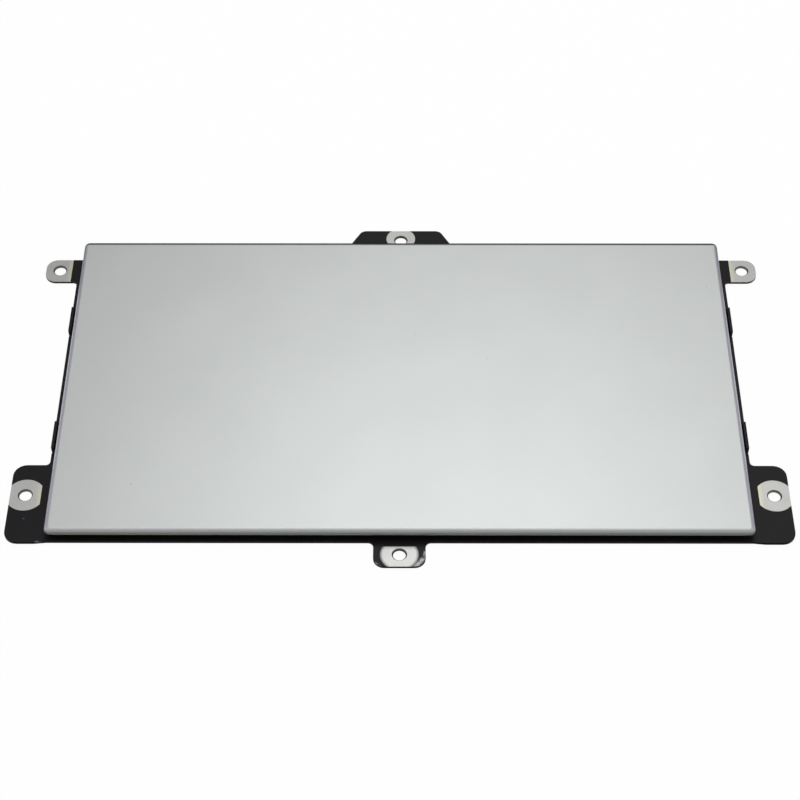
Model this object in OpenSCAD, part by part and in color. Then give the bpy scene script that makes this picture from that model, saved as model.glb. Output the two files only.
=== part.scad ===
/* [Touch glass] */
// Width of the touch glass, left to right
pad_w = 116; // [104:1:140]
// Depth of the touch glass, front to rear
pad_d = 66; // [60:1:90]
// Thickness of the touch glass
glass_t = 1.05; // [1:0.05:2]
// Corner radius of the glass, seen from above
glass_corner_r = 1; // [0.4:0.1:6]
// Rounding along the upper edge of the glass
glass_edge_r = 0.8; // [0.2:0.05:0.9]
// Thickness of the adhesive film under the glass
glass_film_t = 0.1; // [0.05:0.01:0.3]
// How far the film stops short of the board's edge
film_inset = 0.3; // [0.1:0.1:2]

/* [Sensor board] */
// Thickness of the sensor board
board_t = 0.6; // [0.4:0.05:1.6]
// How far the board stops short of the glass edge
board_inset = 0.5; // [0.3:0.1:1.5]
// Corner radius of the board and of the plate under it
board_corner_r = 1; // [0.4:0.1:4]

/* [Support plate] */
// Thickness of the support plate under the board
support_t = 0.2; // [0.15:0.05:0.4]
// How far the support plate stops short of the board's edge
support_inset = 1.5; // [0.5:0.1:3]
// Thickness of the adhesive film between board and support plate
support_film_t = 0.05; // [0.03:0.01:0.15]
// Width of each lug that reaches into a guide
lug_w = 2.4; // [1.5:0.1:4]

/* [Bracket sheet] */
// Thickness of the bracket's steel sheet
sheet_t = 0.5; // [0.4:0.05:0.8]
// How far the beads and the switch pocket are drawn below the sheet
draw_depth = 0.4; // [0.3:0.05:0.6]
// Free height between bracket and support plate
click_gap = 0.5; // [0.45:0.05:0.7]
// How far the sheet stands out beyond the glass at each side
side_margin = 0.95; // [0.8:0.05:3]
// How far the sheet stands out ahead of the glass
front_margin = 0.25; // [0:0.05:1]
// How far the sheet's rear edge lies under the glass
rear_cover = 2.35; // [1:0.05:4]
// Thickness of the black coat, left off at the screw lands
coat_t = 0.04; // [0.02:0.01:0.08]

/* [Screw tabs] */
// Diameter of each screw hole
hole_d = 2.1; // [2:0.1:2.8]
// Chamfer round the upper rim of each screw hole
hole_rim = 0.2; // [0.1:0.05:0.3]
// From the glass side to the corner screw holes
corner_hole_out = 4.3; // [4:0.05:8]
// From the glass rear edge forward to the rear corner holes
rear_hole_in = 4.95; // [4.95:0.05:8]
// From the glass front edge back to the front corner holes
front_hole_in = 9.27; // [6:0.01:12]
// From the glass edge to the centre screw holes
centre_hole_out = 2.8; // [2.6:0.05:5]
// From a corner hole to the outer end of its tab
tab_end = 2.55; // [2.4:0.05:5]
// From a rear corner hole to the tab's front edge
tab_front = 2.85; // [2.6:0.05:5]
// Outer corner radius of the rear tabs
tab_corner_r = 2; // [0.5:0.1:2.4]
// Fillet between a rear tab and the sheet's side
tab_root_r = 0.7; // [0.2:0.05:1.5]
// From a front corner hole back to the rear edge of its ear
ear_rear = 6.33; // [4:0.01:9]
// How far the ears stand ahead of the glass
ear_margin = 0.45; // [0.2:0.05:2]
// Outer corner radius of the ears
ear_corner_r = 2.2; // [0.5:0.1:3]
// Fillet between an ear and the sheet's side
ear_root_r = 0.75; // [0.2:0.05:1.5]
// From the sheet's side in to where its front edge steps out to the ear
ear_step_in = 1.2; // [0.5:0.1:4]
// Length and rounding of that step
ear_step = 2; // [1.5:0.1:3]
// Width of the front centre tab
front_tab_w = 8.56; // [7:0.02:14]
// From a centre hole to the outer edge of its tab
centre_tab_end = 2.4; // [2:0.05:4]
// Outer corner radius of the front centre tab
front_tab_r = 1.8; // [0.5:0.1:2]
// Fillet at the root of the front centre tab
front_tab_root_r = 0.9; // [0.2:0.05:1.5]
// Width of the rear centre tab at its outer edge
rear_tab_w = 14.36; // [10:0.02:24]
// Slant of the rear centre tab's sides
rear_tab_slant = 30; // [0:1:45]
// Outer corner radius of the rear centre tab
rear_tab_r = 1.4; // [0.4:0.1:2]

/* [Bare screw lands] */
// Radius of the bare land on an ear
ear_land_r = 3.25; // [2:0.05:4]
// From an ear's hole to the straight inner edge of its land
ear_land_in = 2.62; // [1.5:0.02:3.5]
// From a rear tab's hole to the inner edge of its bare end
tab_land_in = 2.18; // [1.5:0.02:3]
// Radius of the land on the front centre tab
front_land_r = 3.2; // [2:0.05:4]
// From the front centre hole to the straight rear edge of its land
front_land_in = 1.6; // [1.4:0.02:3]
// Radius of the land on the rear centre tab
rear_land_r = 2.66; // [2:0.02:4]
// How far that land sits behind its hole
rear_land_shift = 0.4; // [0:0.05:1]

/* [Guides] */
// Length of each upturned guide at the sheet's sides
guide_len = 5.8; // [5:0.05:9]
// Height of the guides above the sheet
guide_h = 1.2; // [1.2:0.05:1.5]
// From the glass rear edge forward to the rear guides
rear_guide_in = 18.1; // [14:0.1:22]
// From the glass front edge back to the front guides
front_guide_in = 21.34; // [20.6:0.02:26]
// Width and depth of the bend relief beside each guide
relief = 0.3; // [0.2:0.05:0.5]

/* [Windows and beads] */
// Width of the window over the board's components
parts_window_w = 44; // [40:1:50]
// Depth of the windows
window_d = 12.4; // [11.6:0.1:12.8]
// From the glass rear edge forward to the middle of the component window
parts_window_in = 24; // [22:0.1:26]
// From the glass front edge back to the middle of the front windows
front_window_in = 18; // [17:0.1:19.5]
// Depth of the front windows
front_window_d = 11; // [6:0.1:12]
// Rib between two neighbouring windows
rib_w = 5; // [4:0.1:8]
// Rim between a window and the sheet's side
rim_w = 5.95; // [4:0.05:9]
// Corner radius of the windows
window_r = 1.5; // [0.5:0.1:3]
// Width of the drawn beads
bead_w = 3; // [2.4:0.1:4]
// Length of each of the two rear beads
rear_bead_w = 15; // [10:0.5:18]
// From the middle to the centre of a rear bead
rear_bead_x = 14; // [13:0.5:16]
// From the glass front edge back to the front beads
front_bead_in = 6.5; // [6.2:0.1:8]

/* [Hinge leaves] */
// Thickness of the spring leaf
leaf_t = 0.15; // [0.1:0.01:0.2]
// Width of each leaf
leaf_w = 16; // [12:0.5:20]
// From the glass side in to the middle of a leaf
leaf_in = 22; // [20:0.5:26]
// Depth of the foot riveted to the bracket
foot_d = 3; // [2.8:0.1:4]
// Depth of the flexing web
web_d = 4; // [3:0.1:5]
// Depth of the foot welded to the support plate
weld_d = 4; // [3:0.1:5]
// From the foot's rear edge to the sheet's rear edge
foot_edge = 0.25; // [0.1:0.05:1]
// Clear rim round the leaf in its window
leaf_window_gap = 1; // [0.5:0.1:2]
// Rivet shank diameter
rivet_d = 1.2; // [0.8:0.1:1.4]
// Rivet head diameter
rivet_head_d = 2.4; // [1.8:0.1:2.6]
// Height of the formed rivet head above the leaf
rivet_top_h = 0.15; // [0.1:0.01:0.2]
// Height of the rivet head under the bracket
rivet_head_h = 0.25; // [0.15:0.01:0.28]
// Spacing of the two rivets of a leaf
rivet_pitch = 10; // [6:0.5:11]
// Radial clearance round the rivet shanks
rivet_clear = 0.03; // [0.01:0.01:0.08]

/* [Click] */
// Angle through which the pad tilts at full press
click_angle = 0.3; // [0.2:0.01:0.35]
// Vertical clearance round each lug in its guide
lug_clear = 0.1; // [0.06:0.01:0.14]
// Sideways clearance round each lug in its guide
lug_play = 0.3; // [0.1:0.05:0.6]
// How far a lug stops short of its guide's outer face
lug_end_gap = 0.2; // [0.1:0.05:0.3]
// Length of the bumpers at the front corners
bumper_w = 9; // [6:0.5:14]
// Depth of the bumpers
bumper_d = 3; // [2:0.1:3.2]
// Thickness of the bumpers
bumper_t = 0.12; // [0.06:0.01:0.13]
// From the glass side in to the middle of a bumper
bumper_in = 12; // [10:0.5:18]
// From the glass front edge back to the bumper's front edge
bumper_front = 1.4; // [1:0.1:1.6]

/* [Click switch] */
// From the glass front edge back to the switch
switch_in = 7; // [7:0.1:7.6]
// Width of the square switch
switch_w = 5.2; // [4.6:0.1:5.6]
// Thickness of the switch base's floor
switch_floor_t = 0.2; // [0.15:0.01:0.25]
// Total height of the switch body
switch_h = 0.75; // [0.72:0.01:0.8]
// Thickness of the steel cover of the switch
cover_t = 0.1; // [0.08:0.01:0.12]
// Width of the cover's side clips
clip_w = 2.4; // [1.5:0.1:2.6]
// Radius of the cavity that holds the dome
cavity_r = 2.15; // [2.05:0.01:2.25]
// Radius of the snap dome
dome_r = 2; // [1.8:0.02:2.02]
// Rise of the snap dome
dome_h = 0.3; // [0.28:0.005:0.31]
// Sheet thickness of the snap dome
dome_t = 0.06; // [0.04:0.005:0.08]
// Radius of the plunger's stem
plunger_r = 1; // [0.7:0.02:1.05]
// Radius of the plunger's collar inside the cover
collar_r = 1.6; // [1.3:0.02:1.8]
// Thickness of the plunger's collar
collar_t = 0.1; // [0.08:0.005:0.11]
// Clearance round and above the plunger in the switch
plunger_clear = 0.1; // [0.05:0.01:0.15]
// Clearance between collar and cover at rest
collar_clear = 0.02; // [0.01:0.005:0.03]
// Gap between the plunger and the pocket's floor
tip_gap = 0.05; // [0.02:0.01:0.1]
// Length of each solder terminal of the switch
terminal_len = 0.6; // [0.4:0.05:0.8]
// Width of each solder terminal
terminal_w = 0.7; // [0.4:0.05:0.9]
// Thickness of the solder terminals
terminal_t = 0.1; // [0.08:0.01:0.2]
// Free rim round the switch in the support plate
switch_room = 1.2; // [0.5:0.1:1.6]
// Wall-to-wall width of the pocket drawn in the bracket
pocket_w = 8; // [7.4:0.1:8.4]
// Corner radius inside the pocket
pocket_r = 1; // [0.4:0.1:2]

/* [Cable socket] */
// Number of contacts in the cable socket
pins = 10; // [6:1:12]
// Spacing of the contacts
pin_pitch = 0.5; // [0.4:0.05:0.6]
// Sideways place of the socket
socket_x = -10; // [-11:0.5:-8]
// Depth of the socket's block
socket_d = 2.2; // [2:0.05:2.6]
// Height of the socket below the board
socket_h = 1; // [0.95:0.01:1.05]
// Plastic at each side of the contacts, beside the slot
socket_shoulder = 2; // [1.8:0.05:2.4]
// Thickness of the socket's floor on the board
socket_floor_t = 0.3; // [0.25:0.01:0.35]
// Thickness of the wall behind the slot
socket_back_t = 0.5; // [0.3:0.05:0.8]
// Width of the cable slot beyond its contacts
slot_play = 0.8; // [0.4:0.05:1]
// Height of the cable slot
slot_h = 0.4; // [0.38:0.01:0.42]
// Length of the cheeks that carry the latch
cheek_len = 1.2; // [1:0.05:1.4]
// Thickness of each cheek
cheek_t = 0.75; // [0.6:0.05:0.85]
// Width of each contact
pin_w = 0.2; // [0.15:0.01:0.25]
// Thickness of each contact
pin_t = 0.1; // [0.06:0.01:0.1]
// Clearance round each contact in the socket
pin_clear = 0.03; // [0.02:0.005:0.04]
// Length of the solder tails behind the socket
pin_tail = 0.5; // [0.3:0.05:0.8]
// Size of the square solder anchors beside the socket
anchor_w = 0.9; // [0.6:0.05:1.2]
// Thickness of the solder anchors
anchor_t = 0.15; // [0.1:0.01:0.25]

/* [Socket latch] */
// Thickness of the flip latch
latch_t = 0.34; // [0.28:0.01:0.36]
// Reach of the latch from its pivot to its free edge
latch_reach = 1; // [0.8:0.05:1.1]
// Clearance between latch and cheeks
latch_side = 0.1; // [0.05:0.01:0.15]
// How far the latch lies inside the socket's lower face
latch_sink = 0.04; // [0.02:0.01:0.08]
// Radius of the latch's pivots
pivot_r = 0.14; // [0.1:0.01:0.14]
// Radial running clearance of the pivots
pivot_clear = 0.03; // [0.02:0.005:0.06]
// Depth of the pivot bores in the cheeks
pivot_depth = 0.4; // [0.3:0.05:0.5]
// From the block's face to the pivot line
pivot_out = 0.4; // [0.3:0.02:0.5]

/* [Board components] */
// Width of the square touch controller
controller_w = 6; // [4:0.1:7]
// Height of the touch controller
controller_h = 0.8; // [0.6:0.05:0.9]
// Sideways place of the touch controller
controller_x = 5; // [4:0.5:6]
// Width of the supply regulator
regulator_w = 2.9; // [2:0.1:3.2]
// Depth of the supply regulator
regulator_d = 1.6; // [1.2:0.1:2]
// Height of the supply regulator
regulator_h = 0.85; // [0.6:0.05:0.9]
// Sideways place of the regulator and the resistors
regulator_x = 14.5; // [14:0.5:16]
// Length of a capacitor or resistor
chip_len = 1; // [0.6:0.1:1.2]
// Width of a capacitor or resistor
chip_w = 0.5; // [0.3:0.05:0.7]
// Height of a capacitor
capacitor_h = 0.5; // [0.3:0.05:0.6]
// Height of a resistor
resistor_h = 0.35; // [0.2:0.05:0.5]
// Number of capacitors along each side of the controller
capacitors = 4; // [2:1:4]
// Number of resistors in their row
resistors = 5; // [3:1:5]
// Spacing of the capacitors and resistors
chip_pitch = 1.5; // [1.4:0.05:1.7]
// Gap between the controller and a capacitor row
chip_gap = 0.8; // [0.5:0.05:0.9]

/* [Hidden] */
$fn = 48;
arc_steps = 6;
cut = 1;

// Levels, from the beads' underside up
sheet_z = draw_depth;
top_z = sheet_z + sheet_t;
support_z = top_z + click_gap;
support_film_z = support_z + support_t;
board_z = support_film_z + support_film_t;
glass_film_z = board_z + board_t;
glass_z = glass_film_z + glass_film_t;

// Plan of the bracket
glass_x = pad_w / 2;
glass_y = pad_d / 2;
side_x = glass_x + side_margin;
front_y = -glass_y - front_margin;
rear_y = glass_y - rear_cover;
hole_x = glass_x + corner_hole_out;
rear_hole_y = glass_y - rear_hole_in;
front_hole_y = -glass_y + front_hole_in;
centre_hole_y = glass_y + centre_hole_out;
tab_x = hole_x + tab_end;
tab_front_y = rear_hole_y - tab_front;
ear_rear_y = front_hole_y + ear_rear;
ear_front_y = -glass_y - ear_margin;
centre_end_y = centre_hole_y + centre_tab_end;
rear_tab_x = rear_tab_w / 2;
rear_root_x = rear_tab_x + (centre_end_y - rear_y) * tan(rear_tab_slant);
ear_step_x = side_x - ear_step_in;

// Windows, beads and pocket
parts_y = glass_y - parts_window_in;
front_window_y = -glass_y + front_window_in;
window_x0 = parts_window_w / 2 + rib_w;
window_x1 = side_x - rim_w;
window_mid = (window_x0 + window_x1) / 2;
window_w = window_x1 - window_x0;
front_x0 = (pocket_w + bead_w) / 2 + rib_w;
front_mid = (front_x0 + window_x1) / 2;
front_w = window_x1 - front_x0;
mid_bead_y = (parts_y - window_d / 2 + front_window_y + front_window_d / 2) / 2;
front_bead_y = -glass_y + front_bead_in;
rear_bead_y = parts_y + window_d / 2 + bead_w;

// Hinge
leaf_x = glass_x - leaf_in;
foot_rear_y = rear_y - foot_edge;
foot_front_y = foot_rear_y - foot_d;
weld_rear_y = foot_front_y - web_d;
weld_front_y = weld_rear_y - weld_d;
rivet_y = (foot_rear_y + foot_front_y) / 2;
hinge_y = foot_front_y - web_d / 2;
function drop_at(y) = (hinge_y - y) * sin(click_angle);

// Guides and the lugs inside them
support_w = pad_w - 2 * (board_inset + support_inset);
support_d = pad_d - 2 * (board_inset + support_inset);
guide_ys = [glass_y - rear_guide_in, -glass_y + front_guide_in];
lug_x = side_x - lug_end_gap;

// Switch, measured down from the board
switch_y = -glass_y + switch_in;
switch_z = board_z - switch_h;
cavity_z = switch_z + cover_t;
floor_z = board_z - switch_floor_t;
pocket_z = sheet_t;
collar_z = cavity_z + collar_clear;
dome_z = floor_z - dome_h;
switch_window_w = switch_w + 2 * (terminal_len + switch_room);

// Socket
socket_y = parts_y;
slot_w = pins * pin_pitch + slot_play;
socket_w = slot_w + 2 * socket_shoulder;
socket_z = board_z - socket_h;
socket_rear_y = socket_y - socket_d / 2;
socket_face_y = socket_y + socket_d / 2;
slot_top_z = board_z - socket_floor_t;
slot_z = slot_top_z - slot_h;
latch_w = socket_w - 2 * cheek_t - 2 * latch_side;
pivot_y = socket_face_y + pivot_out;
pivot_z = socket_z + latch_t / 2 + latch_sink;

black_coat = "#2b2b2d";
bare_steel = "#b9b8b3";
silver = "#c8cbca";

// Outlines with rounded corners

function unit(v) = v / norm(v);

function turned(v, a) = [v.x * cos(a) - v.y * sin(a), v.x * sin(a) + v.y * cos(a)];

// Points of one rounded corner: before, corner and after are plan points
function corner_arc(before, corner, after, r) =
    let (u = unit(before - corner),
         v = unit(after - corner),
         half = acos(u * v) / 2,
         centre = corner + unit(u + v) * r / sin(half),
         start = corner + u * r / tan(half) - centre,
         sweep = (180 - 2 * half) * sign(cross(v, u)))
    [for (i = [0:arc_steps]) centre + turned(start, sweep * i / arc_steps)];

// A closed outline from corners given as [x, y, radius]
function rounded(corners) =
    let (n = len(corners), xy = [for (c = corners) [c.x, c.y]])
    [for (i = [0:n - 1])
        each corners[i].z == 0
            ? [xy[i]]
            : corner_arc(xy[(i + n - 1) % n], xy[i], xy[(i + 1) % n], corners[i].z)];

// The same corners on the left side, in the order that closes the outline
function mirrored(corners) =
    [for (i = [len(corners) - 1:-1:0]) [-corners[i].x, corners[i].y, corners[i].z]];

module round_rect(w, d, r) {
    half = [[w / 2, -d / 2, r], [w / 2, d / 2, r]];
    polygon(rounded(concat(half, mirrored(half))));
}

// A flat sheet with rounded corners, centred in plan, its underside at z
module sheet(w, d, t, r, z) {
    translate([0, 0, z])
        linear_extrude(t)
            round_rect(w, d, r);
}

// A box centred in plan at x and y, from z up
module block(x, y, z, w, d, h) {
    translate([x - w / 2, y - d / 2, z])
        cube([w, d, h]);
}

// Draws its children at the right side and mirrored at the left
module both_sides() {
    children();
    mirror([1, 0, 0])
        children();
}

// Moving pad

module crowned_profile(w) {
    half = [[w / 2, 0, 0], [w / 2, glass_t, glass_edge_r]];
    polygon(rounded(concat(half, mirrored(half))));
}

module touch_glass() {
    color(silver)
        translate([0, 0, glass_z])
            intersection() {
                linear_extrude(glass_t)
                    round_rect(pad_w, pad_d, glass_corner_r);
                rotate([90, 0, 0])
                    linear_extrude(pad_d, center = true)
                        crowned_profile(pad_w);
                rotate([90, 0, 90])
                    linear_extrude(pad_w, center = true)
                        crowned_profile(pad_d);
            }
}

module glass_bond_film() {
    inset = 2 * (board_inset + film_inset);
    color("#d8d8d2")
        sheet(pad_w - inset, pad_d - inset, glass_film_t, board_corner_r, glass_film_z);
}

module sensor_board() {
    color("#1f4a33")
        sheet(pad_w - 2 * board_inset, pad_d - 2 * board_inset, board_t, board_corner_r, board_z);
}

// Openings in the plate and film for the components and for the switch
module support_openings(z, h) {
    translate([0, parts_y, z])
        linear_extrude(h)
            round_rect(parts_window_w, window_d, window_r);
    translate([0, switch_y, z])
        linear_extrude(h)
            round_rect(switch_window_w, switch_window_w, window_r);
}

module support_bond_film() {
    color("#d8d8d2")
        difference() {
            sheet(support_w - 2 * film_inset, support_d - 2 * film_inset, support_film_t, board_corner_r,
                support_film_z);
            support_openings(support_film_z - cut, support_film_t + 2 * cut);
        }
}

module support_plate() {
    color(bare_steel)
        difference() {
            union() {
                sheet(support_w, support_d, support_t, board_corner_r, support_z);
                for (y = guide_ys)
                    block(0, y, support_z, 2 * lug_x, lug_w, support_t);
            }
            support_openings(support_z - cut, support_t + 2 * cut);
        }
}

// Components on the underside of the board

module touch_controller() {
    color("#1b1b1d")
        block(controller_x, parts_y, board_z - controller_h, controller_w, controller_w, controller_h);
}

module supply_regulator() {
    color("#1b1b1d")
        block(regulator_x, parts_y + regulator_d, board_z - regulator_h, regulator_w, regulator_d,
            regulator_h);
}

module board_capacitors() {
    row_y = controller_w / 2 + chip_gap + chip_len / 2;
    color("#a58a63")
        for (side = [-1, 1], i = [0:capacitors - 1])
            block(controller_x + (i - (capacitors - 1) / 2) * chip_pitch, parts_y + side * row_y,
                board_z - capacitor_h, chip_w, chip_len, capacitor_h);
}

module board_resistors() {
    color("#202022")
        for (i = [0:resistors - 1])
            block(regulator_x + (i - (resistors - 1) / 2) * chip_pitch, parts_y - regulator_d - chip_len,
                board_z - resistor_h, chip_w, chip_len, resistor_h);
}

// Cable socket on the board

module socket_housing() {
    color("#e6e0d2")
        difference() {
            union() {
                block(socket_x, socket_y, socket_z, socket_w, socket_d, socket_h);
                block(socket_x, socket_face_y + cheek_len / 2, slot_top_z, socket_w, cheek_len,
                    socket_floor_t);
                for (side = [-1, 1])
                    block(socket_x + side * (socket_w - cheek_t) / 2, socket_face_y + cheek_len / 2,
                        socket_z, cheek_t, cheek_len, socket_h);
            }
            // Slot for the flat cable
            translate([socket_x - slot_w / 2, socket_rear_y + socket_back_t, slot_z])
                cube([slot_w, socket_d, slot_h]);
            // Passages for the contacts through the back wall
            for (i = [0:pins - 1])
                block(pin_x(i), socket_rear_y, slot_top_z - pin_t - 2 * pin_clear,
                    pin_w + 2 * pin_clear, 2 * socket_back_t, socket_floor_t + socket_h);
            // Bores for the latch pivots
            translate([socket_x - latch_w / 2 - latch_side - pivot_depth, pivot_y, pivot_z])
                rotate([0, 90, 0])
                    cylinder(r = pivot_r + pivot_clear, h = latch_w + 2 * (latch_side + pivot_depth));
        }
}

function pin_x(i) = socket_x + (i - (pins - 1) / 2) * pin_pitch;

// Side view of one contact: tail on the board, riser, and beam inside the slot
module contact_profile() {
    beam_z = slot_top_z - pin_clear;
    riser_y = socket_rear_y + socket_back_t / 2;
    beam_y = socket_rear_y + socket_d - socket_back_t;
    polygon([
        [socket_rear_y - pin_tail, board_z],
        [socket_rear_y - pin_tail, board_z - pin_t],
        [riser_y, board_z - pin_t],
        [riser_y, beam_z - pin_t],
        [beam_y, beam_z - pin_t],
        [beam_y, beam_z],
        [riser_y + pin_t, beam_z],
        [riser_y + pin_t, board_z],
    ]);
}

module socket_contacts() {
    color("#c9a648")
        for (i = [0:pins - 1])
            translate([pin_x(i) - pin_w / 2, 0, 0])
                rotate([90, 0, 90])
                    linear_extrude(pin_w)
                        contact_profile();
}

module socket_anchors() {
    color("#cfd0d2")
        for (side = [-1, 1])
            block(socket_x + side * (socket_w + anchor_w) / 2, socket_face_y, board_z - anchor_t,
                anchor_w, anchor_w, anchor_t);
}

module socket_latch() {
    pivot_len = latch_w + 2 * (latch_side + pivot_depth - pivot_clear);
    color("#2a2420")
        translate([socket_x, pivot_y, pivot_z]) {
            block(0, latch_reach / 2, -latch_t / 2, latch_w, latch_reach, latch_t);
            rotate([0, 90, 0]) {
                cylinder(r = latch_t / 2, h = latch_w, center = true);
                cylinder(r = pivot_r, h = pivot_len, center = true);
            }
        }
}

// Click switch under the board

module switch_base() {
    color("#26262a")
        difference() {
            block(0, switch_y, cavity_z, switch_w, switch_w, board_z - cavity_z);
            translate([0, switch_y, cavity_z - cut])
                cylinder(r = cavity_r, h = floor_z - cavity_z + cut);
        }
}

// Points of a dome arc of radius r about the height centre_z, from the axis out to the rim plane
function dome_arc(r, centre_z) =
    let (rim = acos((centre_z - dome_h) / r))
    [for (i = [0:arc_steps]) let (a = rim * i / arc_steps) [r * sin(a), centre_z - r * cos(a)]];

module switch_dome() {
    sphere_r = (dome_r * dome_r + dome_h * dome_h) / (2 * dome_h);
    inner = dome_arc(sphere_r - dome_t, sphere_r);
    color(bare_steel)
        translate([0, switch_y, dome_z])
            rotate_extrude($fn = 96)
                polygon(concat(dome_arc(sphere_r, sphere_r), [for (i = [arc_steps:-1:0]) inner[i]]));
}

module switch_plunger() {
    tip_z = pocket_z + tip_gap;
    color("#c4b9a0")
        translate([0, switch_y, 0]) {
            translate([0, 0, tip_z])
                cylinder(r = plunger_r, h = collar_z - tip_z);
            translate([0, 0, collar_z])
                cylinder(r = collar_r, h = collar_t);
        }
}

module switch_cover() {
    color(bare_steel)
        difference() {
            union() {
                block(0, switch_y, switch_z, switch_w + 2 * cover_t, switch_w, cover_t);
                for (side = [-1, 1])
                    block(side * (switch_w + cover_t) / 2, switch_y, switch_z, cover_t, clip_w,
                        switch_h - switch_floor_t);
            }
            translate([0, switch_y, switch_z - cut])
                cylinder(r = plunger_r + plunger_clear, h = cover_t + 2 * cut);
        }
}

module switch_terminals() {
    row_y = (switch_w - terminal_w) / 2;
    color("#cfd0d2")
        for (side = [-1, 1], end = [-1, 1])
            block(side * (switch_w + terminal_len) / 2, switch_y + end * row_y, board_z - terminal_t,
                terminal_len, terminal_w, terminal_t);
}

// Bracket

bracket_right = [
    [front_tab_w / 2, -centre_end_y, front_tab_r],
    [front_tab_w / 2, front_y, front_tab_root_r],
    [ear_step_x, front_y, ear_step],
    [ear_step_x + ear_step, ear_front_y, ear_step],
    [tab_x, ear_front_y, ear_corner_r],
    [tab_x, ear_rear_y, ear_corner_r],
    [side_x, ear_rear_y, ear_root_r],
    [side_x, tab_front_y, tab_root_r],
    [tab_x, tab_front_y, tab_corner_r],
    [tab_x, rear_y, tab_corner_r],
    [rear_root_x, rear_y, front_tab_root_r],
    [rear_tab_x, centre_end_y, rear_tab_r],
];

// Drawn bead: its outside below the sheet
module bead(x, y, w) {
    translate([x, y, 0])
        linear_extrude(top_z)
            round_rect(w, bead_w, bead_w / 3);
}

// Drawn bead: the hollow that it leaves in the top of the sheet
module bead_hollow(x, y, w) {
    translate([x, y, sheet_t])
        linear_extrude(top_z)
            round_rect(w - 2 * sheet_t, bead_w - 2 * sheet_t, bead_w / 6);
}

// Every bead as [x, y, length] at the right side, and the long one across the middle
front_beads = [front_mid, front_bead_y, front_w];
rear_beads = [rear_bead_x, rear_bead_y, rear_bead_w];
mid_bead = [0, mid_bead_y, 2 * window_x1 - rib_w];

module drawn_beads(hollow) {
    both_sides()
        for (b = [front_beads, rear_beads])
            if (hollow) bead_hollow(b.x, b.y, b.z); else bead(b.x, b.y, b.z);
    if (hollow) bead_hollow(mid_bead.x, mid_bead.y, mid_bead.z);
    else bead(mid_bead.x, mid_bead.y, mid_bead.z);
}

module bracket_window(x, y, w, d) {
    translate([x, y, -cut])
        linear_extrude(top_z + 2 * cut)
            round_rect(w, d, window_r);
}

// Screw hole, chamfered at the level of its bare land
module screw_hole(x, y) {
    translate([x, y, -cut])
        cylinder(d = hole_d, h = top_z + 2 * cut);
    translate([x, y, top_z - hole_rim - 2 * coat_t])
        cylinder(d1 = hole_d - 2 * coat_t, d2 = hole_d + 2 * (hole_rim + coat_t),
            h = hole_rim + 2 * coat_t);
}

// Bare lands, where the coat is left off round the screw holes
module bare_lands() {
    land_z = top_z - coat_t;
    reach = 2 * ear_land_r;
    both_sides() {
        intersection() {
            translate([hole_x, front_hole_y, land_z])
                cylinder(r = ear_land_r, h = cut);
            translate([hole_x - ear_land_in, front_hole_y - reach, land_z])
                cube([2 * reach, 2 * reach, cut]);
        }
        translate([hole_x - tab_land_in, rear_hole_y - reach, land_z])
            cube([2 * reach, 2 * reach, cut]);
    }
    intersection() {
        translate([0, -centre_hole_y, land_z])
            cylinder(r = front_land_r, h = cut);
        translate([-reach, -centre_hole_y + front_land_in - 2 * reach, land_z])
            cube([2 * reach, 2 * reach, cut]);
    }
    translate([0, centre_hole_y + rear_land_shift, land_z])
        cylinder(r = rear_land_r, h = cut);
}

// One upturned guide with the slot for its lug, at the right side
module guide(y) {
    slot_d = lug_w + 2 * lug_play;
    low_z = support_z - drop_at(y - lug_w) - lug_clear;
    difference() {
        block(side_x - sheet_t / 2, y, sheet_z, sheet_t, guide_len, sheet_t + guide_h);
        block(side_x, y, low_z, 4 * sheet_t, slot_d, support_film_z + lug_clear - low_z);
    }
}

module guide_relief(y) {
    for (end = [-1, 1])
        block(side_x, y + end * (guide_len + relief) / 2, -cut, 2 * relief, relief, top_z + 2 * cut);
}

module mounting_bracket() {
    color(black_coat)
        both_sides()
            for (y = guide_ys)
                guide(y);
    difference() {
        color(black_coat)
            union() {
                translate([0, 0, sheet_z])
                    linear_extrude(sheet_t)
                        polygon(rounded(concat(bracket_right, mirrored(bracket_right))));
                drawn_beads(false);
                translate([0, switch_y, 0])
                    linear_extrude(top_z)
                        round_rect(pocket_w + 2 * sheet_t, pocket_w + 2 * sheet_t, pocket_r + sheet_t);
            }
        color(black_coat) {
            drawn_beads(true);
            translate([0, switch_y, pocket_z])
                linear_extrude(top_z)
                    round_rect(pocket_w, pocket_w, pocket_r);
            bracket_window(0, parts_y, parts_window_w, window_d);
            both_sides() {
                bracket_window(window_mid, parts_y, window_w, window_d);
                bracket_window(front_mid, front_window_y, front_w, front_window_d);
                bracket_window(leaf_x, (weld_front_y + weld_rear_y + web_d) / 2,
                    leaf_w + 2 * leaf_window_gap, weld_d + web_d);
                screw_hole(hole_x, rear_hole_y);
                screw_hole(hole_x, front_hole_y);
                for (y = guide_ys)
                    guide_relief(y);
                for (end = [-1, 1])
                    translate([leaf_x + end * rivet_pitch / 2, rivet_y, 0])
                        cylinder(d = rivet_d + 2 * rivet_clear, h = top_z + cut);
            }
            screw_hole(0, centre_hole_y);
            screw_hole(0, -centre_hole_y);
        }
        color(bare_steel)
            bare_lands();
    }
}

// Hinge leaves and bumpers on the bracket

module leaf_profile() {
    polygon([
        [foot_rear_y, top_z],
        [foot_rear_y, top_z + leaf_t],
        [foot_front_y, top_z + leaf_t],
        [weld_rear_y, support_z],
        [weld_front_y, support_z],
        [weld_front_y, support_z - leaf_t],
        [weld_rear_y, support_z - leaf_t],
        [foot_front_y, top_z],
    ]);
}

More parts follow.
